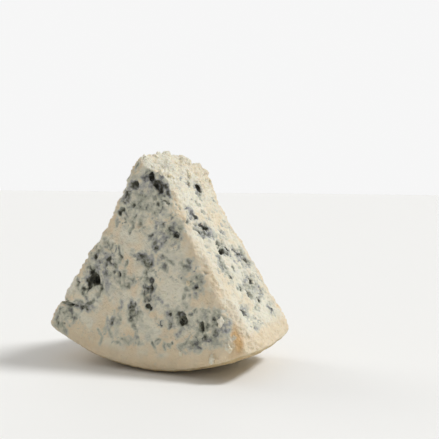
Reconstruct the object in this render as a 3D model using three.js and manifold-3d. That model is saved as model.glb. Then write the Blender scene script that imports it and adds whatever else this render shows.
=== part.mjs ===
// A wedge of blue cheese, a hand-cut sixth of a small wheel, standing on its rind with the broken tip up.
// Millimetres, +Z up. The wheel's axis lies along Y: the front is cut across the wheel, the back is the
// wheel's own flat side, and the two cuts that run in to the centre are the left and right faces.
import * as THREE from 'three';
import { ImprovedNoise } from 'three/addons/math/ImprovedNoise.js';
import { mergeVertices } from 'three/addons/utils/BufferGeometryUtils.js';
import Module from 'manifold-3d';

const wasm = await Module();
wasm.setup();

const { degToRad, lerp, smoothstep } = THREE.MathUtils;

// Driving dimensions of the wheel and of the cuts
const wheelRadius = 100;
const thicknessAtRind = 56.5;
const leftCutAngle = degToRad(32.8);
const rightCutAngle = degToRad(30);
const frontLean = degToRad(1.5);
const backLean = degToRad(8.3);
const rindBulge = 2.2;
const bulgeStart = 0.8;
const footHeight = -1.2;

// Corner radii where the faces meet
const frontRindRadius = 3.5;
const backRindRadius = 9;
const cutEdgeRadius = 2.6;

// The soft tip is squashed out sideways, most at its very end
const tipSwell = 3.4;
const tipSwellLength = 17;

// How uneven the hand-cut faces are: a slow wave, a finer one, and the crumbling tip. All fade at the foot.
const slowWave = { height: 0.8, length: 26, shift: 3.1 };
const fineWave = { height: 0.45, length: 8, shift: 7.7 };
const tipCrumble = { height: 1.3, length: 6.5, shift: 11.3 };
const tipCrumbleReach = 20;
const evenBelow = 1;
const unevenAbove = 8;

// Mesh steps across the sector, from tip to rind, and through the thickness. They crowd towards the edges,
// where the corners are rounded.
const stepsAcross = 24;
const stepsDown = 28;
const stepsThrough = 14;
const edgeCrowding = 0.4;

// The body

const paste = new ImprovedNoise();

function wave(point, { height, length, shift }) {
  return height * paste.noise(point.x / length + shift, point.y / length + shift, point.z / length + shift);
}

function seededRandom(seed) {
  let state = seed;
  return () => {
    state = (state * 1664525 + 1013904223) % 4294967296;
    return state / 4294967296;
  };
}

const frontAt = (height) => -thicknessAtRind / 2 + height * Math.tan(frontLean);
const backAt = (height) => thicknessAtRind / 2 - height * Math.tan(backLean);

// Rounds a square corner. Both numbers are depths below the two faces that meet there.
function roundCorner(first, second, radius) {
  const a = radius - first;
  const b = radius - second;
  const reach = Math.hypot(Math.max(a, 0), Math.max(b, 0));
  if (a <= 0 || b <= 0 || reach <= radius) return [first, second];
  return [radius - (a * radius) / reach, radius - (b * radius) / reach];
}

const crowdEdges = (share) => lerp(share, Math.sin((share * Math.PI) / 2), edgeCrowding);

// A point of the sector. across runs from -1 at the left cut to 1 at the right cut, down from 0 at the tip to
// 1 at the rind, and through from -1 at the front to 1 at the back.
function sectorPoint(across, down, through) {
  const side = Math.sign(across);
  const turnedToBack = through > 0;
  const nominalRadius = down * wheelRadius;
  const halfAngle = (leftCutAngle + rightCutAngle) / 2;
  const halfSpan = nominalRadius * halfAngle + tipSwell;
  const middleHeight = wheelRadius - nominalRadius;
  const halfThickness = (backAt(middleHeight) - frontAt(middleHeight)) / 2;

  let fromCut = (1 - Math.abs(across)) * halfSpan;
  let fromRind = wheelRadius - nominalRadius;
  let fromFlat = (1 - Math.abs(through)) * halfThickness;
  [fromRind, fromFlat] = roundCorner(fromRind, fromFlat, turnedToBack ? backRindRadius : frontRindRadius);
  [fromCut, fromFlat] = roundCorner(fromCut, fromFlat, cutEdgeRadius);
  [fromCut, fromRind] = roundCorner(fromCut, fromRind, cutEdgeRadius);

  const bulge = rindBulge * (1 - through * through) * smoothstep(down, bulgeStart, 1);
  const radius = wheelRadius - fromRind + bulge;
  const share = side * (1 - fromCut / halfSpan);
  const angle = lerp(-leftCutAngle, rightCutAngle, (share + 1) / 2);
  const swell = tipSwell * Math.exp(-((radius / tipSwellLength) ** 2));
  const x = radius * Math.sin(angle) + share * swell * Math.cos(halfAngle);
  const z = wheelRadius - radius * Math.cos(angle) + Math.abs(share) * swell * Math.sin(halfAngle);
  const y = turnedToBack ? backAt(z) - fromFlat : frontAt(z) + fromFlat;
  return new THREE.Vector3(x, y, z);
}

function withoutExtras(geometry) {
  geometry.deleteAttribute('normal');
  geometry.deleteAttribute('uv');
  return mergeVertices(geometry, 1e-4);
}

function solidFrom(geometry) {
  const mesh = new wasm.Mesh({
    numProp: 3,
    vertProperties: new Float32Array(geometry.getAttribute('position').array),
    triVerts: new Uint32Array(geometry.index.array),
  });
  return new wasm.Manifold(mesh);
}

// Moves every vertex out along its normal by what push() gives for its place.
function pushOut(geometry, push) {
  geometry.computeVertexNormals();
  const place = geometry.getAttribute('position');
  const normal = geometry.getAttribute('normal');
  const point = new THREE.Vector3();
  const outward = new THREE.Vector3();
  for (let i = 0; i < place.count; i++) {
    point.fromBufferAttribute(place, i);
    outward.fromBufferAttribute(normal, i);
    point.addScaledVector(outward, push(point));
    place.setXYZ(i, point.x, point.y, point.z);
  }
  geometry.deleteAttribute('normal');
}

// Soft local swellings and, where the height is negative, dents: the upper lip of the split, the slumped
// corner below it, the fuller right side under the tip, and the worn middle of the two front edges
const swellings = [
  { x: -43, y: -25, z: 35, reach: 6, height: 1.6 },
  { x: -49, y: -25, z: 23, reach: 8, height: 1.6 },
  { x: 11, y: -24, z: 86, reach: 8, height: 1.3 },
  { x: 10, y: 13, z: 87, reach: 8, height: 1.8 },
  { x: 19, y: -26, z: 64, reach: 8, height: -1.9 },
  { x: -21, y: -26, z: 64, reach: 8, height: -1.5 },
  { x: 46, y: -26, z: 21, reach: 9, height: 1.2 },
];

function swellingAt(point) {
  return swellings.reduce((sum, { x, y, z, reach, height }) => {
    const distance = Math.hypot(point.x - x, point.y - y, point.z - z);
    return sum + height * Math.exp(-((distance / reach) ** 2));
  }, 0);
}

function body() {
  const box = withoutExtras(new THREE.BoxGeometry(2, 2, 2, stepsAcross, stepsDown, stepsThrough));
  const place = box.getAttribute('position');
  for (let i = 0; i < place.count; i++) {
    const across = crowdEdges(place.getX(i));
    const down = (1 - crowdEdges(place.getY(i))) / 2;
    const through = -crowdEdges(place.getZ(i));
    place.setXYZ(i, ...sectorPoint(across, down, through).toArray());
  }
  pushOut(box, (point) => {
    const clearOfFoot = smoothstep(point.z, evenBelow, unevenAbove);
    const nearTip = 1 - smoothstep(wheelRadius - point.z, 0, tipCrumbleReach);
    const uneven = wave(point, slowWave) + wave(point, fineWave);
    return clearOfFoot * uneven + nearTip * wave(point, tipCrumble) + swellingAt(point);
  });
  return solidFrom(box);
}

// The four faces that carry openings. Each gives the place at so many millimetres across, to the right of its
// middle as seen from outside, and down from the wheel's centre line, and turns lumps to lie in the face.
const tipLine = new THREE.Vector3(0, 0, wheelRadius);

function flatSide(outwardSign, lean, depthAt) {
  const right = new THREE.Vector3(-outwardSign, 0, 0);
  const up = new THREE.Vector3(0, -outwardSign * Math.sin(lean), Math.cos(lean));
  const at = (across, down) => {
    const height = wheelRadius - down;
    return new THREE.Vector3(-outwardSign * across, depthAt(height), height);
  };
  return { right, up, at };
}

function cutSide(outwardSign, angle) {
  const right = new THREE.Vector3(0, outwardSign, 0);
  const up = new THREE.Vector3(-outwardSign * Math.sin(angle), 0, Math.cos(angle));
  const at = (across, down) => tipLine.clone().addScaledVector(right, across).addScaledVector(up, -down);
  return { right, up, at };
}

const faces = {
  front: flatSide(-1, frontLean, frontAt),
  back: flatSide(1, backLean, backAt),
  right: cutSide(1, rightCutAngle),
  left: cutSide(-1, leftCutAngle),
};

// Lumps: uneven pebbles that are cut out as openings or fused on as crumbs. Each seed gives another shape.
const lumpWave = { height: 0.55, length: 0.9 };
const seedStep = 5.3;

function unevenLump(wide, high, deep, seed, detail) {
  const lump = withoutExtras(new THREE.IcosahedronGeometry(1, detail));
  pushOut(lump, (point) => wave(point, { ...lumpWave, shift: seed * seedStep }));
  lump.scale(wide / 2, high / 2, deep);
  return lump;
}

// An opening's lump has its centre just under the face. The large ones have a finer mesh.
const openingSink = 0.15;
const largeOpening = 4.4;

function lumpOnFace(face, { across, down, wide, high, deep, turn }, seed) {
  const outward = new THREE.Vector3().crossVectors(face.right, face.up);
  const centre = face.at(across, down).addScaledVector(outward, -openingSink * deep);
  const lump = unevenLump(wide, high, deep, seed, Math.max(wide, high) > largeOpening ? 1 : 0);
  lump.rotateZ(degToRad(turn));
  lump.applyMatrix4(new THREE.Matrix4().makeBasis(face.right, face.up, outward).setPosition(centre));
  return solidFrom(lump);
}

// Openings in the paste, where the mould has grown. Those of the two faces that show most have their own
// places: across, down, wide, high, deep, and the turn in degrees.
const opening = (across, down, wide, high, deep, turn) => ({ across, down, wide, high, deep, turn });

const frontOpenings = [
  opening(2.4, 13.2, 2.9, 4.6, 3.2, 0),
  opening(5.7, 18.2, 2.5, 7.8, 3.2, 37),
  opening(7.4, 13.4, 2.1, 2.1, 2, 0),
  opening(-2.5, 13.3, 1.9, 1.9, 2, 0),
  opening(-7, 18, 2.6, 3.4, 2.2, 0),
  opening(-13, 28.2, 2.4, 3, 2.4, 0),
  opening(-6.7, 26.4, 1.8, 1.8, 1.8, 0),
  opening(-27.4, 50.2, 1.9, 3.2, 2.2, -15),
  opening(-19.5, 51.4, 1.8, 2.8, 2, -15),
  opening(-21.7, 53.6, 1.8, 3.2, 2.2, -10),
  opening(-28.8, 57.6, 2, 3.4, 2, 0),
  opening(-26.6, 61, 3.6, 3.6, 3.2, 0),
  opening(-30, 63.8, 2.6, 3.2, 2.6, -20),
  opening(-33.4, 65.4, 3, 1.9, 2, 0),
  opening(-13.9, 58, 2.1, 2.6, 2.8, 0),
  opening(2.8, 59.2, 2.2, 3.4, 2.4, 0),
  opening(1, 65.5, 2.4, 6, 2, -8),
  opening(0.9, 70.7, 2.2, 2.4, 2.8, 0),
  opening(24.7, 61, 2.3, 3.6, 2.6, 0),
  opening(20.5, 51, 2, 2.4, 1.8, 0),
  opening(-6.6, 71.5, 2, 2.8, 2, 30),
  opening(10.3, 72.8, 1.7, 3.4, 1.8, 25),
  opening(18.3, 75.2, 3.4, 4.8, 5.5, 25),
  opening(27.6, 77.3, 2.1, 4.6, 2.8, 0),
  opening(29.6, 82.5, 1.8, 3.6, 2.4, 0),
  opening(31.4, 82.4, 1.7, 3.2, 2.2, 0),
];

const rightOpenings = [
  opening(-8, 20.7, 2.6, 3, 2.2, 0),
  opening(1.2, 22.8, 2.8, 4.5, 2.6, 25),
  opening(-8.3, 29.8, 2.2, 2.2, 2, 0),
  opening(-15.5, 32.4, 2.2, 3.4, 1.8, 30),
  opening(-22.4, 37, 2.2, 2.2, 1.8, 0),
  opening(-10.6, 41.8, 8.6, 2.3, 2.8, -17),
  opening(-5.9, 50.6, 2.4, 3.2, 2.6, 0),
  opening(-7.2, 54.6, 2.9, 3.4, 3, 15),
  opening(-0.6, 54, 2.6, 2.4, 2.6, 0),
  opening(-11.5, 66.5, 1.9, 3.8, 2, 0),
  opening(7, 72, 2.4, 2.8, 2.2, 0),
  opening(-0.8, 77.4, 2.1, 4.3, 2.4, 0),
  opening(12.5, 77.4, 1.9, 5, 2.2, 0),
  opening(5, 81.6, 3, 2.4, 2, 0),
  opening(-17, 84, 2, 4, 2, 0),
  opening(14, 88, 2.4, 3, 2, 0),
];

// The other two faces have openings of the same sizes, spread by chance but never close together. The span of
// a face is where it starts and ends across, at so many millimetres down.
const leftSpan = (down) => [-backAt(wheelRadius - down), -frontAt(wheelRadius - down)];
const backSpan = (down) => [-down * Math.tan(rightCutAngle), down * Math.tan(leftCutAngle)];
const hiddenFaces = {
  left: { span: leftSpan, count: 16, clearOfRind: 12, seed: 21 },
  back: { span: backSpan, count: 16, clearOfRind: 16, seed: 77 },
};
const usualOpening = { wide: 2.5, high: 3.7, deep: 2.4, mostTurn: 40, leastScale: 0.7, mostScale: 1.4 };
const leastSpacing = 9;
const clearOfTip = 20;
const clearOfEdge = 5;

function scatteredOpenings({ span, count, clearOfRind, seed }) {
  const { wide, high, deep, mostTurn, leastScale, mostScale } = usualOpening;
  const random = seededRandom(seed);
  const found = [];
  while (found.length < count) {
    const down = lerp(clearOfTip, wheelRadius - clearOfRind, Math.sqrt(random()));
    const [start, end] = span(down);
    const across = lerp(start + clearOfEdge, end - clearOfEdge, random());
    const scale = lerp(leastScale, mostScale, random() ** 2);
    const turn = lerp(-mostTurn, mostTurn, random());
    const apart = found.every((other) => Math.hypot(other.across - across, other.down - down) > leastSpacing);
    if (apart) found.push(opening(across, down, wide * scale, high * scale, deep * scale, turn));
  }
  return found;
}

function cutOpenings(solid) {
  const lists = { front: frontOpenings, right: rightOpenings };
  for (const [name, spread] of Object.entries(hiddenFaces)) lists[name] = scatteredOpenings(spread);
  let seed = 1;
  for (const [name, list] of Object.entries(lists)) {
    for (const place of list) {
      solid = solid.subtract(lumpOnFace(faces[name], place, seed));
      seed += 1;
    }
  }
  return solid;
}

// The split: a thin curved crack that runs in from the left edge, where its mouth gapes, and sags on the way
const splitMouth = { x: -52, top: 31.2, bottom: 27.7 };
const splitSag = { x: -39.5, top: 25.7, bottom: 24 };
const splitEnd = { x: -30.5, z: 26.2 };
const splitDepth = 7.5;

function cutSplit(solid) {
  const outline = new THREE.Shape();
  outline.moveTo(splitMouth.x, splitMouth.top);
  outline.quadraticCurveTo(splitSag.x, splitSag.top, splitEnd.x, splitEnd.z);
  outline.quadraticCurveTo(splitSag.x, splitSag.bottom, splitMouth.x, splitMouth.bottom);
  const clearOfFace = 1.5;
  const depth = splitDepth + clearOfFace;
  const crack = new THREE.ExtrudeGeometry(outline, { depth, bevelEnabled: false, curveSegments: 7 });
  crack.rotateX(Math.PI / 2);
  crack.translate(0, frontAt(splitMouth.top) + splitDepth, 0);
  return solid.subtract(solidFrom(withoutExtras(crack)));
}

// The tip is broken off: a rough slope that falls from a ridge on the left to the right cut. The ridge itself
// drops towards the front.
const tipBreak = { ridgeX: -5, ridgeHeight: 96, fall: degToRad(26), frontDrop: 2.2 };
const breakGrain = { height: 1.6, length: 5, shift: 5.9 };

function breakTip(solid) {
  const { ridgeX, ridgeHeight, fall, frontDrop } = tipBreak;
  const ridgeLength = backAt(ridgeHeight) - frontAt(ridgeHeight);
  const [width, length, thickness, meshStep] = [36, 1.3 * ridgeLength, 14, 2.3];
  const [stepsWide, stepsLong] = [Math.round(width / meshStep), Math.round(length / meshStep)];
  const block = withoutExtras(new THREE.BoxGeometry(width, length, thickness, stepsWide, stepsLong, 1));
  block.translate(width / 4, 0, thickness / 2);
  pushOut(block, (point) => {
    const towardsFront = Math.max(-point.y / (ridgeLength / 2), 0);
    return wave(point, breakGrain) + frontDrop * towardsFront ** 2;
  });
  block.rotateY(fall);
  block.translate(ridgeX, (frontAt(ridgeHeight) + backAt(ridgeHeight)) / 2, ridgeHeight);
  return solid.subtract(solidFrom(block));
}

// Crumbs that cling to the broken tip: the named ones stand out of the outline, the rest lie along the ridge
const namedCrumbs = [
  { x: -4.4, y: -22.5, z: 93.4, size: 2 },
  { x: -3.4, y: -9, z: 95, size: 2.8 },
  { x: -3.2, y: -4.5, z: 95.6, size: 2.4 },
  { x: 1.5, y: 8.5, z: 94, size: 2 },
  { x: 5.5, y: 13, z: 90.8, size: 2.2 },
];
const looseCrumbs = { count: 7, size: 1.7, leftEnd: -3, rightEnd: 7, clearOfEnds: 2, seed: 5 };

function crumbAt({ x, y, z, size }, seed) {
  const crumb = unevenLump(2 * size, 1.7 * size, 0.8 * size, seed, 1);
  crumb.rotateX(seed);
  crumb.rotateZ(2 * seed);
  crumb.translate(x, y, z);
  return solidFrom(crumb);
}

function addCrumbs(solid) {
  const { count, size, leftEnd, rightEnd, clearOfEnds, seed } = looseCrumbs;
  const { ridgeX, ridgeHeight, fall } = tipBreak;
  const random = seededRandom(seed);
  const crumbs = [...namedCrumbs];
  for (let i = 0; i < count; i++) {
    const along = (i + random()) / count;
    const y = lerp(frontAt(ridgeHeight) + clearOfEnds, backAt(ridgeHeight) - clearOfEnds, along);
    const x = lerp(leftEnd, rightEnd, random());
    const z = ridgeHeight - (x - ridgeX) * Math.tan(fall);
    crumbs.push({ x, y, z, size: size * lerp(0.7, 1.3, random()) });
  }
  return crumbs.reduce((whole, crumb, i) => whole.add(crumbAt(crumb, i + 1)), solid);
}

// The foot: the soft rind is pressed flat where the wedge stands
function flattenFoot(solid) {
  const slab = withoutExtras(new THREE.BoxGeometry(2 * wheelRadius, 2 * wheelRadius, wheelRadius));
  slab.translate(0, 0, footHeight - wheelRadius / 2);
  return solid.subtract(solidFrom(slab));
}

function largestPiece(solid) {
  return solid.decompose().reduce((best, piece) => (piece.volume() > best.volume() ? piece : best));
}

function geometryFrom(solid) {
  const { vertProperties, triVerts } = solid.getMesh();
  const geometry = new THREE.BufferGeometry();
  geometry.setAttribute('position', new THREE.BufferAttribute(vertProperties, 3));
  geometry.setIndex(new THREE.BufferAttribute(triVerts, 1));
  geometry.computeVertexNormals();
  return geometry;
}

const finestDetail = 0.06;
const brokenBody = cutSplit(cutOpenings(breakTip(body())));
const wedge = largestPiece(flattenFoot(addCrumbs(brokenBody))).simplify(finestDetail);

const geometry = geometryFrom(wedge);
geometry.computeBoundingBox();
const centre = geometry.boundingBox.getCenter(new THREE.Vector3());

const paleCheese = new THREE.MeshStandardMaterial({ color: '#dcd4bd', roughness: 0.62, metalness: 0 });
const cheeseWedge = new THREE.Mesh(geometry, paleCheese);
cheeseWedge.name = 'cheese_wedge';
cheeseWedge.position.set(-centre.x, -centre.y, -footHeight);

const model = new THREE.Group();
model.add(cheeseWedge);

export default model;
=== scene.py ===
import math
import random

import bmesh
import bpy
import numpy as np
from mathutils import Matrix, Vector, noise
from mathutils.bvhtree import BVHTree


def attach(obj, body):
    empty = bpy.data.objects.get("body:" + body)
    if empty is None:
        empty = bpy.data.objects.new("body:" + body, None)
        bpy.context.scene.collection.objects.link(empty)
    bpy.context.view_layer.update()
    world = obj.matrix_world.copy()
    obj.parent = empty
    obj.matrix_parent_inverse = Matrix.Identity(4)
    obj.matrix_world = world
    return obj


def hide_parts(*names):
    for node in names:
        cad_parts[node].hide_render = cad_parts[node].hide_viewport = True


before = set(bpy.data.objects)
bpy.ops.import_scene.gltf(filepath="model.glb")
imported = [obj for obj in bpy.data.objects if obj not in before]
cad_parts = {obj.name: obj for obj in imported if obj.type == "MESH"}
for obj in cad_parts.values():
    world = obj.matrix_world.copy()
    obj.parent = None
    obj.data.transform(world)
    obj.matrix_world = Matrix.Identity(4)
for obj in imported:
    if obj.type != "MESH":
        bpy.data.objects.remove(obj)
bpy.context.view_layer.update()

# THE WEDGE
# A hand-cut sixth of a small drained wheel of semi-soft cheese, standing on its rind with the tip broken off.
# The paste is pressed curd, crumbly and full of small openings, and blue mould has grown in them and out
# through the paste. The skin below is the solid's own surface, meshed finely enough to carry that grain.

# The wheel in millimetres, how far each cut stands from the vertical, how far each flat face leans, and where the
# middle of the wheel is in the part's frame
WHEEL_RADIUS = 100.0
THICKNESS_AT_RIND = 56.5
LEFT_CUT, RIGHT_CUT = math.radians(32.8), math.radians(30.0)
FRONT_LEAN, BACK_LEAN = math.radians(1.5), math.radians(8.3)
WHEEL_CENTRE = np.array([1.86, 0.98, 101.2])
# How far apart the points of the skin are
SKIN_SPACING = 0.59


def set_out(name, data):
    """Puts a mesh, a light or a camera into the scene under that name."""
    thing = bpy.data.objects.new(name, data)
    bpy.context.scene.collection.objects.link(thing)
    return thing


def mesh_evenly(thing, spacing):
    """Meshes an object again all over with faces of one size, so none is stretched or folded."""
    remesh = thing.modifiers.new("fine mesh", "REMESH")
    remesh.mode = "VOXEL"
    remesh.voxel_size = spacing / 1000
    evaluated = thing.evaluated_get(bpy.context.evaluated_depsgraph_get())
    fine = bpy.data.meshes.new_from_object(evaluated)
    thing.modifiers.clear()
    thing.data = fine


def points_of(mesh):
    """The mesh's vertices in millimetres, one row each."""
    flat = np.empty(len(mesh.vertices) * 3)
    mesh.vertices.foreach_get("co", flat)
    return flat.reshape(-1, 3) * 1000


def normals_of(mesh):
    """The way that the surface looks at each vertex."""
    flat = np.empty(len(mesh.vertices) * 3)
    mesh.vertex_normals.foreach_get("vector", flat)
    return flat.reshape(-1, 3)


def move_points(mesh, points):
    """Moves the vertices to those places, in millimetres."""
    mesh.vertices.foreach_set("co", (points / 1000).ravel())
    mesh.update()


def edges_of(mesh):
    """The two vertices that each edge joins."""
    flat = np.empty(len(mesh.edges) * 2, dtype=np.int32)
    mesh.edges.foreach_get("vertices", flat)
    return flat.reshape(-1, 2)


def relaxed(values, edges, rounds, share=0.5):
    """Each value drifts towards the mean of its neighbours, so many times over."""
    count = len(values)
    columns = values.reshape(count, -1).copy()
    near = np.maximum(np.bincount(edges.ravel(), minlength=count), 1)
    for _ in range(rounds):
        for column in columns.T:
            total = np.bincount(edges[:, 0], column[edges[:, 1]], count)
            total += np.bincount(edges[:, 1], column[edges[:, 0]], count)
            column += share * (total / near - column)
    return columns.reshape(values.shape)


def ramp(low, high, values):
    """0 at low, 1 at high, and a soft curve between."""
    share = np.clip((values - low) / (high - low), 0, 1)
    return share * share * (3 - 2 * share)


def grain(points, length, seed):
    """Soft noise from about -1 to 1, with lumps about so many millimetres across. The seed shifts it."""
    moved = points / length + seed * 17.31
    return np.array([noise.noise(place) for place in moved.tolist()]) * 1.5


def crumble(points, length, seed, octaves):
    """Noise with finer lumps on the coarse ones, each octave half as large and half as high."""
    total = np.zeros(len(points))
    for octave in range(octaves):
        total += grain(points, length / 2**octave, seed + octave) / 2**octave
    return total


wedge = set_out("wedge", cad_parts["cheese_wedge"].data.copy())
mesh_evenly(wedge, SKIN_SPACING)
edges = edges_of(wedge.data)
softened = relaxed(points_of(wedge.data), edges, 3)


def places_in_wheel(points):
    """Across, up and through the wheel, then the distance and the angle from the wheel's centre line."""
    across, height = points[:, 0] - WHEEL_CENTRE[0], points[:, 2] - WHEEL_CENTRE[2] + WHEEL_RADIUS
    down = WHEEL_RADIUS - height
    return across, height, points[:, 1] - WHEEL_CENTRE[1], np.hypot(across, down), np.arctan2(across, down)


def depths_under(points):
    """How deep each point lies under each face of the wedge."""
    across, height, through, from_centre, angle = places_in_wheel(points)
    return {
        "front": through + THICKNESS_AT_RIND / 2 - height * math.tan(FRONT_LEAN),
        "back": THICKNESS_AT_RIND / 2 - height * math.tan(BACK_LEAN) - through,
        "left": from_centre * np.sin(np.clip(LEFT_CUT + angle, -1.5, 1.5)),
        "right": from_centre * np.sin(np.clip(RIGHT_CUT - angle, -1.5, 1.5)),
        "rind": WHEEL_RADIUS - from_centre,
    }


OUTWARD = {
    "front": np.array([0, -1, 0]),
    "back": np.array([0, 1, 0]),
    "left": np.array([-math.cos(LEFT_CUT), 0, math.sin(LEFT_CUT)]),
    "right": np.array([math.cos(RIGHT_CUT), 0, math.sin(RIGHT_CUT)]),
}


def rounded_off(points, first, second, radius):
    """Rounds off the edge between two faces, up to where the tip broke off."""
    depths = depths_under(points)
    short = np.maximum(radius - np.column_stack([depths[first], depths[second]]), 0)
    reach = np.hypot(short[:, 0], short[:, 1])
    near_both = ramp(0, 0.8, short.min(axis=1)) * ramp(91, 76, points[:, 2])
    short *= (near_both * np.maximum(reach - radius, 0) / np.maximum(reach, radius))[:, None]
    return points - short[:, :1] * OUTWARD[first] - short[:, 1:] * OUTWARD[second]


# Handling has rounded the cut edges, most of all the near one
CUT_EDGES = {("front", "right"): 5.0, ("front", "left"): 2.0, ("back", "right"): 1.6, ("back", "left"): 1.6}
for (first, second), radius in CUT_EDGES.items():
    softened = rounded_off(softened, first, second, radius)

# Curd doesn't break along smooth curves, so every rim and edge is pulled about within the face that it is in
broad = relaxed(softened, edges, 60)
move_points(wedge.data, broad)
broad_normals = normals_of(wedge.data)
at_rim = relaxed(ramp(0.2, 0.9, np.einsum("ij,ij->i", broad - softened, broad_normals)), edges, 4)[:, None]
pull = np.column_stack([crumble(softened, 3.4, seed, 2) for seed in (71, 74, 77)]) * 0.9
pull += np.column_stack([grain(softened, 1.7, seed) for seed in (95, 96, 97)]) * 0.8 * at_rim
pull -= np.einsum("ij,ij->i", pull, broad_normals)[:, None] * broad_normals
pull *= ramp(1.5, 5, softened[:, 2])[:, None]
smooth = relaxed(softened + pull, edges, 1)

# Curd hangs in every opening, so none of them is an even pit
in_opening = np.einsum("ij,ij->i", broad + pull - smooth, broad_normals)
hanging = 0.8 * ramp(-0.3, 0.6, grain(broad, 1.6, 91)) * ramp(0.4, 1.2, in_opening) * ramp(4.0, 2.5, in_opening)
smooth += broad_normals * (hanging * in_opening)[:, None]
move_points(wedge.data, smooth)
mesh_evenly(wedge, SKIN_SPACING)

# The skin that carries the relief, and the same skin drawn smooth, which shows the way that each face looks
edges = edges_of(wedge.data)
smooth = relaxed(points_of(wedge.data), edges, 1)
broad = relaxed(smooth, edges, 60)
move_points(wedge.data, broad)
broad_normals = normals_of(wedge.data)
move_points(wedge.data, smooth)
skin_normals = normals_of(wedge.data)

# Where each point lies: how deep under each face of the wedge, and which way the broad surface looks there
across, height, through, from_centre, angle = places_in_wheel(smooth)
depth = depths_under(smooth)
looks = {
    "front": -broad_normals[:, 1],
    "back": broad_normals[:, 1],
    "left": broad_normals @ OUTWARD["left"],
    "right": broad_normals @ OUTWARD["right"],
    "rind": broad_normals[:, 0] * np.sin(angle) - broad_normals[:, 2] * np.cos(angle),
}
on_face = {name: ramp(0.55, 0.85, look) for name, look in looks.items()}

# The break at the tip: everything above the slope that the tip broke along, which falls away from a ridge
RIDGE_ACROSS, RIDGE_UP = -3.14, 97.2
BREAK_FALL = math.radians(26)
below_break = RIDGE_UP - (smooth[:, 0] - RIDGE_ACROSS) * math.tan(BREAK_FALL) - smooth[:, 2]
broken = ramp(3.5, 1.0, below_break * math.cos(BREAK_FALL))

# How deep each point is in an opening: below the broad surface, far under every face, or on a steep wall
side_depths = np.column_stack([depth[name] for name in OUTWARD])
nearest = np.array(list(OUTWARD.values()))[np.argmin(side_depths, axis=1)]
wall = ramp(0.6, 0.25, np.einsum("ij,ij->i", skin_normals, nearest)) * (1 - broken) * ramp(6, 9, depth["rind"])
sunk_by = np.minimum.reduce([side_depths.min(axis=1), depth["rind"], below_break * math.cos(BREAK_FALL) - 1])
hollow_depth = np.maximum(np.einsum("ij,ij->i", broad - smooth, broad_normals), sunk_by - 1.6)
hollow_depth = np.maximum(hollow_depth, relaxed(1.7 * wall, edges, 2))

# The rind covers the curved underside and the wheel's flat side at the back. Under it the paste is plain.
turned = np.hypot(np.maximum(looks["rind"], 0), np.maximum(looks["back"], 0))
rind = ramp(0.6, 0.85, turned) * ramp(4.5, 2.8, np.minimum(depth["rind"], depth["back"]))
under_rind = np.maximum(ramp(11, 4, depth["rind"]), ramp(6.5, 2, depth["back"]))

# Mould of the front face. Each patch has its place across and up from the wheel's foot line, its width and
# height in millimetres, its turn in degrees, and how dense it is: a haze is under 0.7, a dark spot is over 1.
FRONT_HAZE = [
    (-1.0, 77.0, 26.0, 24.0, 0, 0.46),
    (12.5, 62.5, 13.0, 10.0, 20, 0.67),
    (7.0, 58.0, 11.0, 10.0, 30, 0.55),
    (-0.5, 49.8, 16.0, 7.0, -18, 0.65),
    (-24.0, 44.0, 20.0, 30.0, -25, 0.48),
    (-13.0, 40.0, 14.0, 9.0, 0, 0.46),
    (1.6, 36.0, 8.0, 20.0, 5, 0.6),
    (-35.0, 26.6, 16.0, 6.0, -8, 0.6),
    (-6.0, 25.5, 10.0, 10.0, 0, 0.58),
    (16.0, 24.0, 18.0, 16.0, 0, 0.44),
    (33.0, 22.0, 18.0, 18.0, 0, 0.54),
    (24.0, 14.0, 16.0, 8.0, 10, 0.5),
    (-47.0, 18.5, 9.0, 15.0, 10, 0.64),
    (-42.5, 22.5, 9.0, 9.0, 20, 0.52),
    (-14.7, 21.0, 4.0, 9.0, 0, 0.46),
    (24.5, 40.0, 9.0, 12.0, 0, 0.53),
    (20.0, 48.5, 7.0, 7.0, 0, 0.55),
    (-9.0, 12.5, 14.0, 6.0, 0, 0.31),
]
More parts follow.
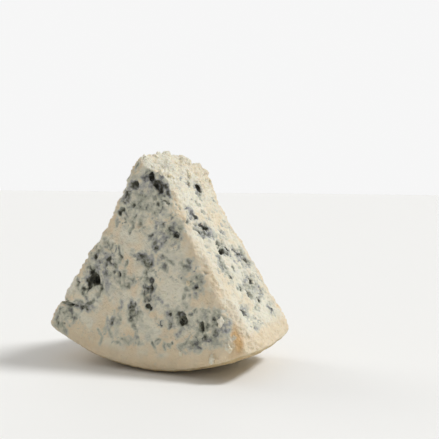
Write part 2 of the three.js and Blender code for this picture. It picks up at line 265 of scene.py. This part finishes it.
FRONT_SPOTS = [
    (2.6, 86.0, 4.0, 6.0, 15, 1.35),
    (5.9, 82.0, 3.6, 10.5, 37, 1.6),
    (9.4, 81.0, 4.4, 10.0, 37, 1.0),
    (7.4, 86.6, 2.8, 2.6, 0, 0.95),
    (-1.5, 85.5, 5.4, 4.4, 0, 0.9),
    (-7.0, 82.0, 4.6, 5.6, 0, 1.0),
    (-9.0, 79.4, 3.0, 4.6, 25, 0.9),
    (11.4, 78.0, 2.2, 4.4, 25, 0.8),
    (-13.0, 71.7, 3.4, 3.6, 0, 1.05),
    (-14.6, 69.8, 2.2, 3.6, 30, 0.9),
    (-11.0, 76.0, 6.0, 7.0, -20, 0.72),
    (-6.7, 73.6, 2.2, 2.2, 0, 1.05),
    (3.0, 67.6, 3.6, 2.2, 0, 0.62),
    (8.0, 64.8, 3.0, 2.6, 0, 0.7),
    (13.0, 63.8, 4.0, 3.0, 0, 0.7),
    (16.0, 61.0, 3.0, 3.0, 0, 0.62),
    (4.0, 56.2, 4.4, 3.6, 0, 0.78),
    (-4.0, 51.6, 5.0, 2.6, -10, 0.78),
    (1.8, 48.4, 5.0, 4.0, -20, 0.8),
    (7.8, 50.8, 2.0, 3.4, 0, 0.75),
    (9.3, 46.8, 3.4, 4.8, 20, 0.85),
    (20.5, 49.0, 3.2, 3.4, 0, 0.72),
    (-19.5, 48.6, 2.2, 3.6, 15, 1.1),
    (-21.7, 46.4, 2.2, 4.0, 10, 1.0),
    (-27.4, 49.8, 2.2, 3.6, 15, 1.1),
    (-27.0, 53.5, 2.4, 3.4, 0, 0.62),
    (-29.4, 42.0, 6.6, 11.0, 15, 0.8),
    (-28.4, 38.6, 8.0, 6.6, 20, 1.2),
    (-30.6, 35.8, 5.0, 4.4, 20, 1.15),
    (-33.6, 34.6, 4.0, 2.4, 0, 1.0),
    (-13.9, 42.0, 2.8, 3.2, 0, 1.2),
    (-13.2, 38.4, 2.0, 4.0, 0, 0.6),
    (-8.0, 40.4, 5.0, 1.8, -5, 0.55),
    (2.8, 40.8, 2.8, 4.2, 0, 0.8),
    (1.4, 35.4, 4.0, 9.4, 8, 0.9),
    (0.9, 29.3, 2.6, 3.0, 0, 1.2),
    (-0.6, 31.3, 2.4, 3.4, 25, 1.0),
    (2.4, 28.0, 2.0, 1.8, 0, 0.8),
    (-6.6, 28.5, 2.8, 3.6, -25, 0.9),
    (-4.6, 26.2, 2.4, 3.0, 30, 0.65),
    (-7.2, 22.9, 2.4, 2.4, 0, 0.62),
    (24.7, 38.9, 3.0, 4.6, 0, 1.05),
    (24.7, 43.0, 3.4, 3.0, 0, 0.6),
    (10.3, 27.3, 1.8, 4.6, 25, 0.75),
    (18.3, 25.0, 5.0, 6.6, 35, 1.45),
    (21.0, 27.0, 1.6, 4.0, 0, 0.7),
    (27.6, 22.7, 2.8, 5.8, 0, 1.1),
    (31.6, 23.0, 4.0, 3.0, 0, 0.7),
    (35.6, 27.6, 2.6, 2.8, 25, 0.85),
    (38.0, 22.6, 5.0, 6.0, 0, 0.66),
    (29.6, 17.5, 2.2, 4.4, 0, 0.8),
    (31.4, 17.5, 2.0, 4.0, 0, 0.8),
    (26.6, 13.4, 3.6, 3.6, 30, 0.75),
    (22.8, 13.8, 3.0, 3.0, 0, 0.6),
    (-34.6, 25.8, 4.0, 2.2, -8, 0.95),
    (-38.5, 27.2, 3.0, 1.8, 0, 0.65),
    (-30.8, 26.4, 3.6, 1.4, 0, 0.6),
    (-48.4, 18.2, 4.2, 7.4, 10, 0.72),
    (-46.2, 27.4, 2.2, 2.2, 0, 0.8),
    (13.3, 13.8, 1.6, 2.2, 20, 0.85),
    (-13.0, 12.8, 1.6, 2.0, 0, 0.5),
    (-9.8, 12.6, 1.6, 2.0, 0, 0.5),
    (-5.6, 11.8, 1.6, 2.6, 0, 0.55),
    (4.6, 3.4, 2.4, 2.4, 0, 0.6),
]

# Places on the front where the paste is nearly bare. The last number is how bare.
FRONT_BARE = [
    (-9.8, 58.5, 24.0, 9.0, 0, 1.0),
    (-4.4, 34.5, 12.0, 11.0, 0, 0.9),
    (12.4, 37.0, 12.0, 15.0, 0, 0.9),
    (-29.5, 19.3, 20.0, 11.0, 0, 0.8),
    (32.5, 38.3, 12.0, 14.0, 0, 0.9),
    (19.5, 55.5, 9.0, 10.0, 0, 0.9),
    (-38.0, 30.2, 9.0, 5.0, 0, 0.8),
]

# Between the spots, and away from those places, many short streaks of thin mould
THIN_STREAKS = 110
STREAKS_CLEAR_OF_LEFT, STREAKS_CLEAR_OF_RIGHT = 4, 7
draw = random.Random(21)
for _ in range(THIN_STREAKS):
    up = draw.uniform(11, 76)
    left_end = STREAKS_CLEAR_OF_LEFT - (WHEEL_RADIUS - up) * math.tan(LEFT_CUT)
    side = draw.uniform(left_end, (WHEEL_RADIUS - up) * math.tan(RIGHT_CUT) - STREAKS_CLEAR_OF_RIGHT)
    streak = (draw.uniform(1.6, 3.0), draw.uniform(3.5, 8.5), draw.uniform(-65, 65), draw.uniform(0.38, 0.7))
    if all(math.hypot((side - x) / wide, (up - z) / high) > 0.45 for x, z, wide, high, _, _ in FRONT_BARE):
        FRONT_SPOTS.append((side, up, *streak))

# The same for the right cut face: towards the back from the wheel's middle, down from its centre line
RIGHT_HAZE = [
    (0.0, 23.0, 10.0, 9.0, 0, 0.62),
    (-17.0, 34.5, 10.0, 8.0, 20, 0.57),
    (-12.0, 44.0, 18.0, 9.0, 17, 0.57),
    (-4.0, 53.0, 13.0, 9.0, 30, 0.57),
    (11.0, 60.0, 20.0, 12.0, 20, 0.54),
    (5.0, 75.0, 22.0, 16.0, 10, 0.36),
    (-13.0, 62.0, 8.0, 14.0, 0, 0.49),
    (-15.0, 84.0, 10.0, 9.0, 0, 0.49),
    (13.0, 88.0, 8.0, 7.0, 0, 0.54),
    (-12.0, 92.0, 7.0, 5.0, 0, 0.46),
]
RIGHT_SPOTS = [
    (-8.0, 20.7, 3.0, 3.4, -25, 1.05),
    (1.2, 22.8, 3.0, 5.2, -25, 1.1),
    (-8.3, 29.8, 2.6, 2.6, 0, 1.0),
    (-4.6, 31.0, 2.4, 2.0, 0, 0.85),
    (-15.5, 32.4, 4.5, 2.6, 40, 0.85),
    (-22.4, 37.0, 3.0, 2.6, 0, 1.05),
    (-26.6, 37.5, 4.0, 2.4, 0, 0.65),
    (-15.0, 36.4, 4.4, 2.2, 20, 0.95),
    (-10.6, 41.8, 10.0, 2.8, 17, 1.3),
    (-15.0, 44.5, 8.0, 3.0, 25, 0.85),
    (-5.9, 50.6, 3.6, 4.6, 0, 1.2),
    (-7.2, 54.6, 4.4, 4.6, -15, 1.35),
    (-0.6, 54.0, 3.0, 2.8, 0, 1.25),
    (1.0, 57.4, 2.6, 2.6, 0, 0.85),
    (-12.0, 58.0, 2.0, 4.4, 0, 0.7),
    (8.0, 57.0, 7.0, 2.6, 30, 0.95),
    (13.0, 62.0, 6.0, 2.6, 20, 0.9),
    (-11.5, 66.5, 2.2, 4.4, 0, 1.0),
    (-4.0, 63.5, 2.2, 4.4, 0, 0.7),
    (7.0, 72.0, 3.0, 3.2, 0, 1.0),
    (-2.0, 72.0, 2.0, 3.4, 0, 0.75),
    (-0.8, 77.4, 2.4, 4.8, 0, 1.1),
    (12.5, 77.4, 2.2, 5.6, 0, 1.05),
    (5.0, 81.6, 3.4, 3.0, 0, 1.0),
    (-17.0, 84.0, 2.4, 4.6, 0, 0.9),
    (14.0, 88.0, 2.8, 3.6, 0, 0.95),
    (-12.0, 92.0, 2.0, 3.4, 0, 0.6),
]

# The near lower corner has an amber stain, where the cut edge dried beside the rind
FRONT_STAINS = [(44.2, 19.5, 6.5, 14.0, 12, 1.6), (43.0, 11.5, 9.0, 6.0, 35, 0.6), (4.8, 2.6, 3.0, 2.6, 0, 0.5)]


def patch_field(columns, rows, patches, seed):
    """The densest patch at each point. Noise makes every outline ragged."""
    places = np.column_stack([columns, rows, np.zeros(len(rows))])
    ragged = 0.34 * grain(places, 3.4, seed) + 0.22 * grain(places, 1.5, seed + 1)
    densest = np.zeros(len(rows))
    for column, row, wide, high, turn, density in patches:
        cosine, sine = math.cos(math.radians(turn)), math.sin(math.radians(turn))
        beside, above = columns - column, rows - row
        turned_beside, turned_above = beside * cosine + above * sine, above * cosine - beside * sine
        reach = np.hypot(turned_beside / (wide / 2), turned_above / (high / 2))
        densest = np.maximum(densest, density * ramp(1.35, 0.35, reach + ragged))
    return densest


def veining(points, length, seed):
    """Mould that has grown through the paste: ragged islands, gathered in loose groups."""
    groups = ramp(-0.35, 0.45, grain(points, length * 3.2, seed))
    islands = ramp(0.12, 0.9, crumble(points, length, seed + 3, 3))
    return islands * (0.4 + 0.6 * groups)


def streaked(turn):
    """Places on a cut face, drawn together so that noise on them makes streaks at that turn, down and back."""
    cosine, sine = math.cos(math.radians(turn)), math.sin(math.radians(turn))
    along, beside = through * cosine + from_centre * sine, from_centre * cosine - through * sine
    return np.column_stack([along / 1.8, beside, angle * 60])


# Where the paste is stained, and how dense the mould is: first each face's own, then what lines the openings
front_stain = patch_field(across, height, FRONT_STAINS, 15) * ramp(8, 4, depth["front"]) * (1 - on_face["right"])
front_stain = relaxed(front_stain, edges, 8)
front_mould = np.maximum(patch_field(across, height, FRONT_HAZE, 5), patch_field(across, height, FRONT_SPOTS, 7))
right_mould = np.maximum(
    patch_field(through, from_centre, RIGHT_HAZE, 9), patch_field(through, from_centre, RIGHT_SPOTS, 11)
)
fine_veins = veining(smooth, 4.4, 2)
streaks = veining(streaked(35), 2.2, 4)
broad_veins = veining(smooth, 6.5, 6)

near_hollow = relaxed(ramp(0.25, 1.6, hollow_depth + 0.4 * grain(smooth, 2.3, 81)), edges, 6)
moulded_corner = 0.7 * ramp(-38, -44, across) * ramp(10, 14, height) * ramp(9, 5, depth["front"])
cut_paste = (1 - rind) * (1 - 0.85 * under_rind * (1 - moulded_corner)) * (1 - 0.6 * broken)
edge_band = ramp(8.5, 5, depth["front"] + grain(smooth, 3.5, 87)) * ramp(72, 60, height)
# Broad noise over the front face. Where it is high there is a thin mould veil, and where it is low a peach tint. It
# is raised towards the top and lowered towards the bottom and beside the near edge, a painted shade that draws the
# front greyer above and warmer below.
cloud = crumble(smooth, 8.5, 101, 3) + 0.5 * ramp(56, 72, height) - 0.5 * ramp(24, 10, height)
cloud -= 0.8 * ramp(12, 5, depth["right"]) * ramp(18, 32, height) * ramp(78, 66, height)
veil = 0.2 * ramp(-0.3, 0.9, cloud)
threads = 0.56 * ramp(0.15, 0.03, np.abs(crumble(smooth, 6.5, 211, 3))) * ramp(-0.2, 0.4, grain(smooth, 9, 215))
thin_mould = np.maximum.reduce([veil, threads * ramp(5, 14, height), 0.3 * fine_veins])
bare = patch_field(across, height, FRONT_BARE, 17)
front_mould = np.maximum(front_mould, thin_mould * (1 - 0.85 * bare))
mould = on_face["front"] * front_mould * (1 - 0.7 * ramp(88.5, 91.5, height))
mould = np.maximum(mould, on_face["right"] * np.maximum(right_mould, 0.42 * streaks * (1 - 0.9 * edge_band)))
hidden_faces = np.maximum(on_face["left"], on_face["back"] * 0.2)
mould = np.maximum(mould, hidden_faces * np.maximum(0.75 * broad_veins, 0.75 * streaks))
tip_threads = ramp(0.12, 0.02, np.abs(crumble(smooth, 5.0, 131, 2)))
mould = np.maximum(mould, broken * (0.4 * fine_veins + 0.35 * tip_threads))
mould *= 0.12 + 0.88 * cut_paste
lined = 0.45 + 0.2 * cut_paste + 0.35 * grain(smooth, 2.4, 85) - 0.3 * broken
mould = np.maximum(mould, near_hollow * lined)

# Curd breaks into rounded crumbs of 2 to 3 mm with creases between them, and in the creases the colour is drawn
# darker, most on the right face
crumbled = np.abs(crumble(smooth, 2.7, 121, 2))
mould += (0.12 + 0.2 * on_face["right"]) * ramp(0.16, 0.02, crumbled) * ramp(0.1, 0.4, mould) * cut_paste


# The relief: small openings, grain that is coarser in the mould and at the break, and a puckered rind
def sink_openings(points, ragged, sites):
    """Presses small ragged pits into the points, and says how deep each point went."""
    sunk = np.zeros(len(points))
    for centre, radius, reach, stretch in sites:
        offset = points - centre
        along = offset @ stretch
        apart = np.sqrt(np.maximum((offset**2).sum(axis=1) - along**2 * 0.7, 0)) + ragged
        sunk = np.maximum(sunk, reach * ramp(radius, radius * 0.25, apart))
    return sunk


def opening_sites(count, allowed, seed):
    """Places for small openings, drawn by chance where the paste allows them, densest in the mould."""
    draw = np.random.default_rng(seed)
    chosen = draw.choice(len(smooth), count, replace=False, p=allowed / allowed.sum())
    for index in chosen:
        radius = draw.uniform(*PIT_RADIUS)
        stretch = Vector((math.sin(angle[index]), draw.uniform(-0.6, 0.6), -math.cos(angle[index]))).normalized()
        yield smooth[index], radius, radius * draw.uniform(0.55, 1.0), np.array(stretch)


SMALL_PITS = 200
PIT_RADIUS = (0.75, 1.45)
openness = cut_paste * (0.04 + mould**1.5) * (1 - broken) * ramp(6, 24, height) * (1 - 0.6 * on_face["front"])
sunk = sink_openings(smooth, 0.5 * grain(smooth, 1.4, 33), opening_sites(SMALL_PITS, openness, 12))
sunk *= 1 + 0.5 * grain(smooth, 1.1, 31)
hollow_depth = hollow_depth + sunk

# Along the cut edges, and at the break and in the mould, the paste is coarser
edge_depths = np.sort(np.abs(side_depths), axis=1)
near_edge = ramp(5, 1.5, edge_depths[:, 1]) * (1 - rind)
coarse = 0.18 + 0.15 * np.clip(mould, 0, 1) + 0.7 * broken + 0.2 * near_edge
coarse += 0.2 * np.maximum(on_face["right"], on_face["left"])
height_map = coarse * crumble(smooth, 4.6, 41, 3) + (0.1 + 0.1 * broken) * grain(smooth, 1.25, 47)
rough_face = 0.3 + 1.0 * np.maximum.reduce([on_face["right"], on_face["left"], broken])
height_map += rough_face * (np.minimum(crumbled, 0.6) - 0.35)
height_map -= 0.35 * np.clip(mould, 0, 1) * (1 - broken)
pucker = np.column_stack([smooth[:, 0], smooth[:, 1] * 0.6, smooth[:, 2]])
rind_map = 0.16 * crumble(pucker, 3.0, 53, 3) + 0.1 * np.abs(grain(smooth, 1.6, 57))
height_map = height_map * (1 - rind) + rind_map * rind
height_map *= ramp(2.6, 0.8, hollow_depth - sunk) * 0.75 + 0.25
carved = smooth + skin_normals * (height_map - sunk)[:, None]

# It stands level, so the foot stays flat and nothing goes below it
foot = ramp(1.4, 0.3, smooth[:, 2])
carved[:, 2] = carved[:, 2] * (1 - foot) + np.maximum(smooth[:, 2], 0) * foot
carved[:, 2] = np.maximum(carved[:, 2], 0)
move_points(wedge.data, carved)

# What the finish reads: how dense the mould is, where dark mould and painted shade fill the deepest openings, how
# much rind there is, how dried the paste is, with a painted warm shade over the front face, and how stained it is
dried_edge = near_edge * ramp(0.2, -0.3, grain(smooth, 9, 61)) * ramp(3, 7, depth["back"])
dried_and_warm_shade = dried_edge + 0.85 * under_rind * (1 - rind)
dried_and_warm_shade *= 1 - 0.6 * broken
near_cut = ramp(8, 4, np.hypot(depth["front"], depth["right"])) * ramp(88, 80, height)
dried_and_warm_shade = np.maximum(dried_and_warm_shade, 0.55 * near_cut * ramp(-0.9, 0.3, grain(smooth, 5, 65)))
# Painted warm shade: broad peach patches over the front face, most towards its bottom and beside the near edge
dried_and_warm_shade = np.clip(np.maximum(dried_and_warm_shade, 0.75 * ramp(0.5, -0.8, cloud) * on_face["front"]), 0, 1)
inside = (0.6 + 0.35 * grain(smooth, 2.2, 131)) * ramp(0.4, 1.7, hollow_depth)
in_split = ramp(-28, -32, smooth[:, 0]) * ramp(21, 23, height) * ramp(32, 30, height)
inside *= 1 - 0.6 * in_split
mould = np.maximum(mould + 0.3 * ramp(0.25, 1.2, sunk), inside)
mould = np.clip(mould, 0, 1.05 + 0.4 * grain(smooth, 1.8, 141))
# Painted shade: the deepest parts of the openings are marked for near black, over the dark mould that lines them
deep_mould_and_shade = ramp(2.5, 4.7, hollow_depth + 0.9 * grain(smooth, 1.6, 83)) * (1 - 0.75 * in_split)
finish_fields = {"mould": mould, "deep_mould_and_shade": deep_mould_and_shade, "rind": rind, "dried_and_warm_shade": dried_and_warm_shade, "stain": front_stain}
for name, values in finish_fields.items():
    field = wedge.data.attributes.new(name, "FLOAT", "POINT")
    field.data.foreach_set("value", values.astype(np.float32))


def shade_smooth(mesh):
    """Lets the light run over the faces without a break."""
    for face in mesh.polygons:
        face.use_smooth = True


shade_smooth(wedge.data)


def linear(code):
    """An sRGB hex colour as the linear red, green, blue and alpha that the shader takes."""
    parts = [int(code[i : i + 2], 16) / 255 for i in (1, 3, 5)]
    return [p / 12.92 if p <= 0.04045 else ((p + 0.055) / 1.055) ** 2.4 for p in parts] + [1.0]


def add(tree, kind, feeds=None, **settings):
    """Adds a node with its settings. feeds holds, for each input, a value, a hex colour or another's output."""
    made = tree.nodes.new(kind)
    for name, value in settings.items():
        setattr(made, name, value)
    for name, value in (feeds or {}).items():
        if isinstance(value, bpy.types.NodeSocket):
            tree.links.new(value, made.inputs[name])
        else:
            made.inputs[name].default_value = linear(value) if isinstance(value, str) else value
    return made


def blank_tree(finish):
    """The node tree of a material or a world, with nothing in it yet."""
    finish.use_nodes = True
    finish.node_tree.nodes.clear()
    return finish.node_tree


# Blue cheese: ivory curd with a soft wet sheen that lets a little light in, grey-green mould that is matt and
# almost black where it lines an opening, with painted shade deep in the openings, and a dull tan rind with a pale
# bloom.
cheese = bpy.data.materials.new("blue_cheese_paste_and_rind")
tree = blank_tree(cheese)
place = add(tree, "ShaderNodeTexCoord").outputs["Object"]
fields = {name: add(tree, "ShaderNodeAttribute", attribute_name=name).outputs["Fac"] for name in finish_fields}


def laid(tree, under, tint, where, starts, full, most=1.0):
    """Lays a tint over a colour: none where the pattern is at starts, and most of it where it is full."""
    feeds = {"Value": where, "From Min": starts, "From Max": full, "To Max": most}
    share = add(tree, "ShaderNodeMapRange", feeds, interpolation_type="SMOOTHSTEP")
    mixed = add(tree, "ShaderNodeMix", {0: share.outputs["Result"], 6: under, 7: tint}, data_type="RGBA")
    return mixed.outputs[2]


def blotched(tree, place, under, tint, lump, starts, full, most=1.0, shift=0.0):
    """Lays a tint over a colour in soft blotches about so many millimetres across."""
    feeds = {"Vector": place, "W": shift, "Scale": 1000 / lump, "Detail": 3.0, "Roughness": 0.6}
    cloud = add(tree, "ShaderNodeTexNoise", feeds, noise_dimensions="4D").outputs["Fac"]
    return laid(tree, under, tint, cloud, starts, full, most)


# The paste: ivory curd, in places peach or greyer, drier and deeper along the cut edges and under the rind.
# The dried tone also lays a painted warm shade over the front face, in broad peach patches.
paste = blotched(tree, place, "#ebe5d0", "#ecd9b8", 14, 0.46, 0.66, 0.65)
paste = blotched(tree, place, paste, "#cdc8b8", 5, 0.5, 0.72, 0.6, shift=1.3)
paste = blotched(tree, place, paste, "#f0ebdb", 2.2, 0.52, 0.75, 0.5, shift=2.1)
dry_and_warm_shade_paste = blotched(tree, place, "#ebd4b0", "#e0cba8", 5, 0.35, 0.7, shift=3.7)
paste = laid(tree, paste, dry_and_warm_shade_paste, fields["dried_and_warm_shade"], 0, 1, 0.75)
paste = laid(tree, paste, "#d6a866", fields["stain"], 0, 1.4, 0.8)

# The mould: a grey-green haze, then slate, then near black, broken up by grain from 2.6 mm down to 0.3 mm
feeds = {"Vector": place, "Scale": 1000 / 2.6, "Detail": 3.0, "Roughness": 0.5, "Distortion": 0.3}
speckle = add(tree, "ShaderNodeTexNoise", feeds).outputs["Fac"]
speckle = add(tree, "ShaderNodeMath", {0: speckle, 1: 2.4, 2: -1.2}, operation="MULTIPLY_ADD").outputs[0]
feeds = {"Value": fields["mould"], "From Min": 0.05, "From Max": 0.65}
grown = add(tree, "ShaderNodeMapRange", feeds).outputs["Result"]
feeds = {0: speckle, 1: grown, 2: fields["mould"]}
density = add(tree, "ShaderNodeMath", feeds, operation="MULTIPLY_ADD").outputs[0]
haze = blotched(tree, place, "#b5b5a3", "#aeadaa", 11, 0.45, 0.58, shift=4.2)
slate = blotched(tree, place, "#868779", "#81817f", 8, 0.45, 0.58, shift=5.9)
moulded = laid(tree, paste, "#cfcdbc", density, 0.04, 0.3, 0.85)
moulded = laid(tree, moulded, haze, density, 0.25, 0.58)
moulded = laid(tree, moulded, slate, density, 0.5, 0.85)
moulded = laid(tree, moulded, "#4b4a3d", density, 0.78, 1.1)
moulded = laid(tree, moulded, "#22221a", density, 1.1, 1.45)

# The rind: tan, with a greyish bloom and small brown flecks about 2 mm across
tan_rind = blotched(tree, place, "#ccb78c", "#b99f72", 13, 0.38, 0.64, shift=6.4)
tan_rind = blotched(tree, place, tan_rind, "#d9cfb3", 4.5, 0.5, 0.68, 0.7, shift=7.5)
tan_rind = blotched(tree, place, tan_rind, "#8d7550", 2.0, 0.62, 0.72, 0.6, shift=8.3)
colour = laid(tree, moulded, tan_rind, fields["rind"], 0, 1)
# Painted shade: near black laid over the deepest parts of the openings, over the mould there
colour = laid(tree, colour, "#2c2d23", fields["deep_mould_and_shade"], 0.2, 1.0, 0.85)

# Curd grain of about 0.9 mm on lumps of 1.8 mm. Both are drawn coarser than curd's own, to show.
feeds = {"Vector": place, "Scale": 1000 / 1.8, "Detail": 3.0, "Roughness": 0.6}
curd_lumps = add(tree, "ShaderNodeTexNoise", feeds).outputs["Fac"]
feeds = {"Vector": place, "Scale": 1000 / 0.9, "Detail": 3.0, "Roughness": 0.6}
curd_grain = add(tree, "ShaderNodeTexNoise", feeds).outputs["Fac"]
curd = add(tree, "ShaderNodeMath", {0: curd_lumps, 1: 1.4, 2: curd_grain}, operation="MULTIPLY_ADD").outputs[0]
relief = add(tree, "ShaderNodeBump", {"Strength": 0.9, "Distance": 0.00055, "Height": curd})
feeds = {"Value": density, "From Min": 0.1, "From Max": 0.8, "To Min": 0.5, "To Max": 0.82}
dullness = add(tree, "ShaderNodeMapRange", feeds).outputs["Result"]
feeds = {0: fields["rind"], 1: 0.16, 2: dullness}
dullness = add(tree, "ShaderNodeMath", feeds, operation="MULTIPLY_ADD").outputs[0]
# Light goes a little way into the paste and comes out warmer
PASTE_LIGHT = {"IOR": 1.45, "Subsurface Weight": 0.18, "Subsurface Radius": (1.0, 0.75, 0.45)}
feeds = {"Base Color": colour, "Roughness": dullness, "Normal": relief.outputs["Normal"], "Subsurface Scale": 0.0018}
soft_cheese = add(tree, "ShaderNodeBsdfPrincipled", PASTE_LIGHT | feeds)
add(tree, "ShaderNodeOutputMaterial", {"Surface": soft_cheese.outputs["BSDF"]})

wedge.data.materials.clear()
wedge.data.materials.append(cheese)
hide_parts("cheese_wedge")
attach(wedge, "root")

# CRUMBS
# Bits of the same paste that the knife and the break have loosened. They are damp, so they stick where they
# fell: along the broken tip, on the front face and on the edges.

# Those on the front face, each across, up and size in millimetres. The rest are placed by chance.
FRONT_CRUMBS = [(38.2, 26.0, 1.5), (42.4, 15.5, 1.6), (34.4, 10.2, 1.5), (22.8, 41.7, 1.0), (19.4, 10.8, 0.9)]
EDGE_CRUMBS, EDGE_CRUMB_SIZE = 34, (0.45, 1.15)

pile = bmesh.new()


def drop_crumb(pile, spot, outward, size, draw):
    """Adds one rough flat crumb to the pile, half pressed into the surface at that spot."""
    made = bmesh.ops.create_icosphere(pile, subdivisions=4 if size > 0.9 else 3, radius=1)["verts"]
    squash = Vector((draw.uniform(0.75, 1.0), draw.uniform(0.9, 1.3), draw.uniform(0.5, 0.75)))
    tilt = Vector([draw.uniform(-0.35, 0.35) for _ in range(3)])
    turn = (Vector(outward) + tilt).to_track_quat("Z", "Y")
    shift = Vector([draw.uniform(0, 99) for _ in range(3)])
    centre = Vector(spot) - Vector(outward) * size * 0.05
    for vertex in made:
        swell = 1 + 0.6 * noise.noise(vertex.co * 1.3 + shift) + 0.4 * abs(noise.noise(vertex.co * 2.9 + shift))
        swell += 0.16 * noise.noise(vertex.co * 7 + shift)
        vertex.co = (turn @ (vertex.co * swell * squash) * size + centre) / 1000


surface = BVHTree.FromPolygons(carved.tolist(), [list(face.vertices) for face in wedge.data.polygons])
draw = random.Random(8)
for x, z, size in FRONT_CRUMBS:
    spot, outward, _, _ = surface.ray_cast(Vector((x, -60, z)), Vector((0, 1, 0)))
    drop_crumb(pile, spot, outward, size, draw)
sticks = broken * 2.5 + near_edge * ramp(60, 90, height) * ramp(-16, -4, through) * 0.4
chosen = np.random.default_rng(3).choice(len(carved), EDGE_CRUMBS, replace=False, p=sticks / sticks.sum())
for index in chosen:
    drop_crumb(pile, carved[index], skin_normals[index], draw.uniform(*EDGE_CRUMB_SIZE), draw)

crumb_mesh = bpy.data.meshes.new("crumbs")
pile.to_mesh(crumb_mesh)
pile.free()
shade_smooth(crumb_mesh)
crumbs = set_out("crumbs", crumb_mesh)

# Crumbs of paste: the same ivory curd, a little drier and paler, with a grain of 0.7 mm and no mould
crumb_paste = bpy.data.materials.new("crumbled_cheese_paste")
tree = blank_tree(crumb_paste)
place = add(tree, "ShaderNodeTexCoord").outputs["Object"]
colour = blotched(tree, place, "#eee8d6", "#e6dabd", 4, 0.4, 0.62)
colour = blotched(tree, place, colour, "#cfccb8", 1.1, 0.55, 0.7, 0.5, shift=1.9)
feeds = {"Vector": place, "Scale": 1000 / 0.7, "Detail": 3.0, "Roughness": 0.6}
crumb_grain = add(tree, "ShaderNodeTexNoise", feeds).outputs["Fac"]
relief = add(tree, "ShaderNodeBump", {"Strength": 0.5, "Distance": 0.0003, "Height": crumb_grain})
feeds = {"Value": crumb_grain, "To Min": 0.5, "To Max": 0.7}
dullness = add(tree, "ShaderNodeMapRange", feeds).outputs["Result"]
feeds = {"Base Color": colour, "Roughness": dullness, "Normal": relief.outputs["Normal"], "Subsurface Scale": 0.0015}
soft_crumb = add(tree, "ShaderNodeBsdfPrincipled", PASTE_LIGHT | feeds)
add(tree, "ShaderNodeOutputMaterial", {"Surface": soft_crumb.outputs["BSDF"]})
crumb_mesh.materials.append(crumb_paste)
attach(crumbs, "root")

# THE STUDIO
# A pale level floor, soft light from a window high on the right, a white screen on the left that throws a
# little of it back, and a dim room with one bright white wall behind the cheese.

FLOOR_SIDE = 6.0
half = FLOOR_SIDE / 2
floor_mesh = bpy.data.meshes.new("floor")
floor_mesh.from_pydata([(-half, -half, 0), (half, -half, 0), (half, half, 0), (-half, half, 0)], [], [(0, 1, 2, 3)])
floor = set_out("floor", floor_mesh)
# White paper: pulp pressed smooth and left matt, so the floor is one pale tone with only a soft shadow on it
paper = bpy.data.materials.new("white_paper")
paper.use_nodes = True
paper.node_tree.nodes["Principled BSDF"].inputs["Base Color"].default_value = linear("#f1efea")
paper.node_tree.nodes["Principled BSDF"].inputs["Roughness"].default_value = 0.8
floor_mesh.materials.append(paper)


def far_light(name, towards, strength, spread, colour):
    """A far light in that direction. The spread in degrees is how soft its shadows are."""
    light = bpy.data.lights.new(name, "SUN")
    light.energy = strength
    light.angle = math.radians(spread)
    light.color = linear(colour)[:3]
    set_out(name, light).rotation_euler = Vector(towards).to_track_quat("Z", "Y").to_euler()


far_light("window_light", (0.62, 0.2, 0.76), 2.2, 12, "#f7faff")
far_light("white_screen", (-0.75, 0.1, 0.55), 0.5, 30, "#ffffff")

room = bpy.data.worlds.new("room")
tree = blank_tree(room)
direction = add(tree, "ShaderNodeTexCoord").outputs["Generated"]
feeds = {0: direction, 1: (-0.42, 0.90, 0.08)}
towards_wall = add(tree, "ShaderNodeVectorMath", feeds, operation="DOT_PRODUCT").outputs["Value"]
feeds = {"Value": towards_wall, "From Min": 0.72, "From Max": 0.9, "To Min": 0.41, "To Max": 0.95}
brightness = add(tree, "ShaderNodeMapRange", feeds, interpolation_type="SMOOTHSTEP").outputs["Result"]
walls = add(tree, "ShaderNodeBackground", {"Color": "#fcfcfc", "Strength": brightness})
add(tree, "ShaderNodeOutputWorld", {"Surface": walls.outputs["Background"]})
bpy.context.scene.world = room
bpy.context.scene.view_settings.view_transform = "Standard"

# The camera stands low and close, to the right of the front face, and looks slightly down
YAW, PITCH = 0.43623, 0.06188
FILM_WIDTH = 36
FOCAL_PIXELS, PICTURE_PIXELS = 709.88, 439
lens = bpy.data.cameras.new("camera")
lens.sensor_width = FILM_WIDTH
lens.lens = FOCAL_PIXELS / PICTURE_PIXELS * FILM_WIDTH
lens.clip_start = 0.01
camera = set_out("camera", lens)
camera.location = (0.16292, -0.29530, 0.08792)
camera.rotation_euler = (math.pi / 2 - PITCH, 0, YAW)
bpy.context.scene.camera = camera
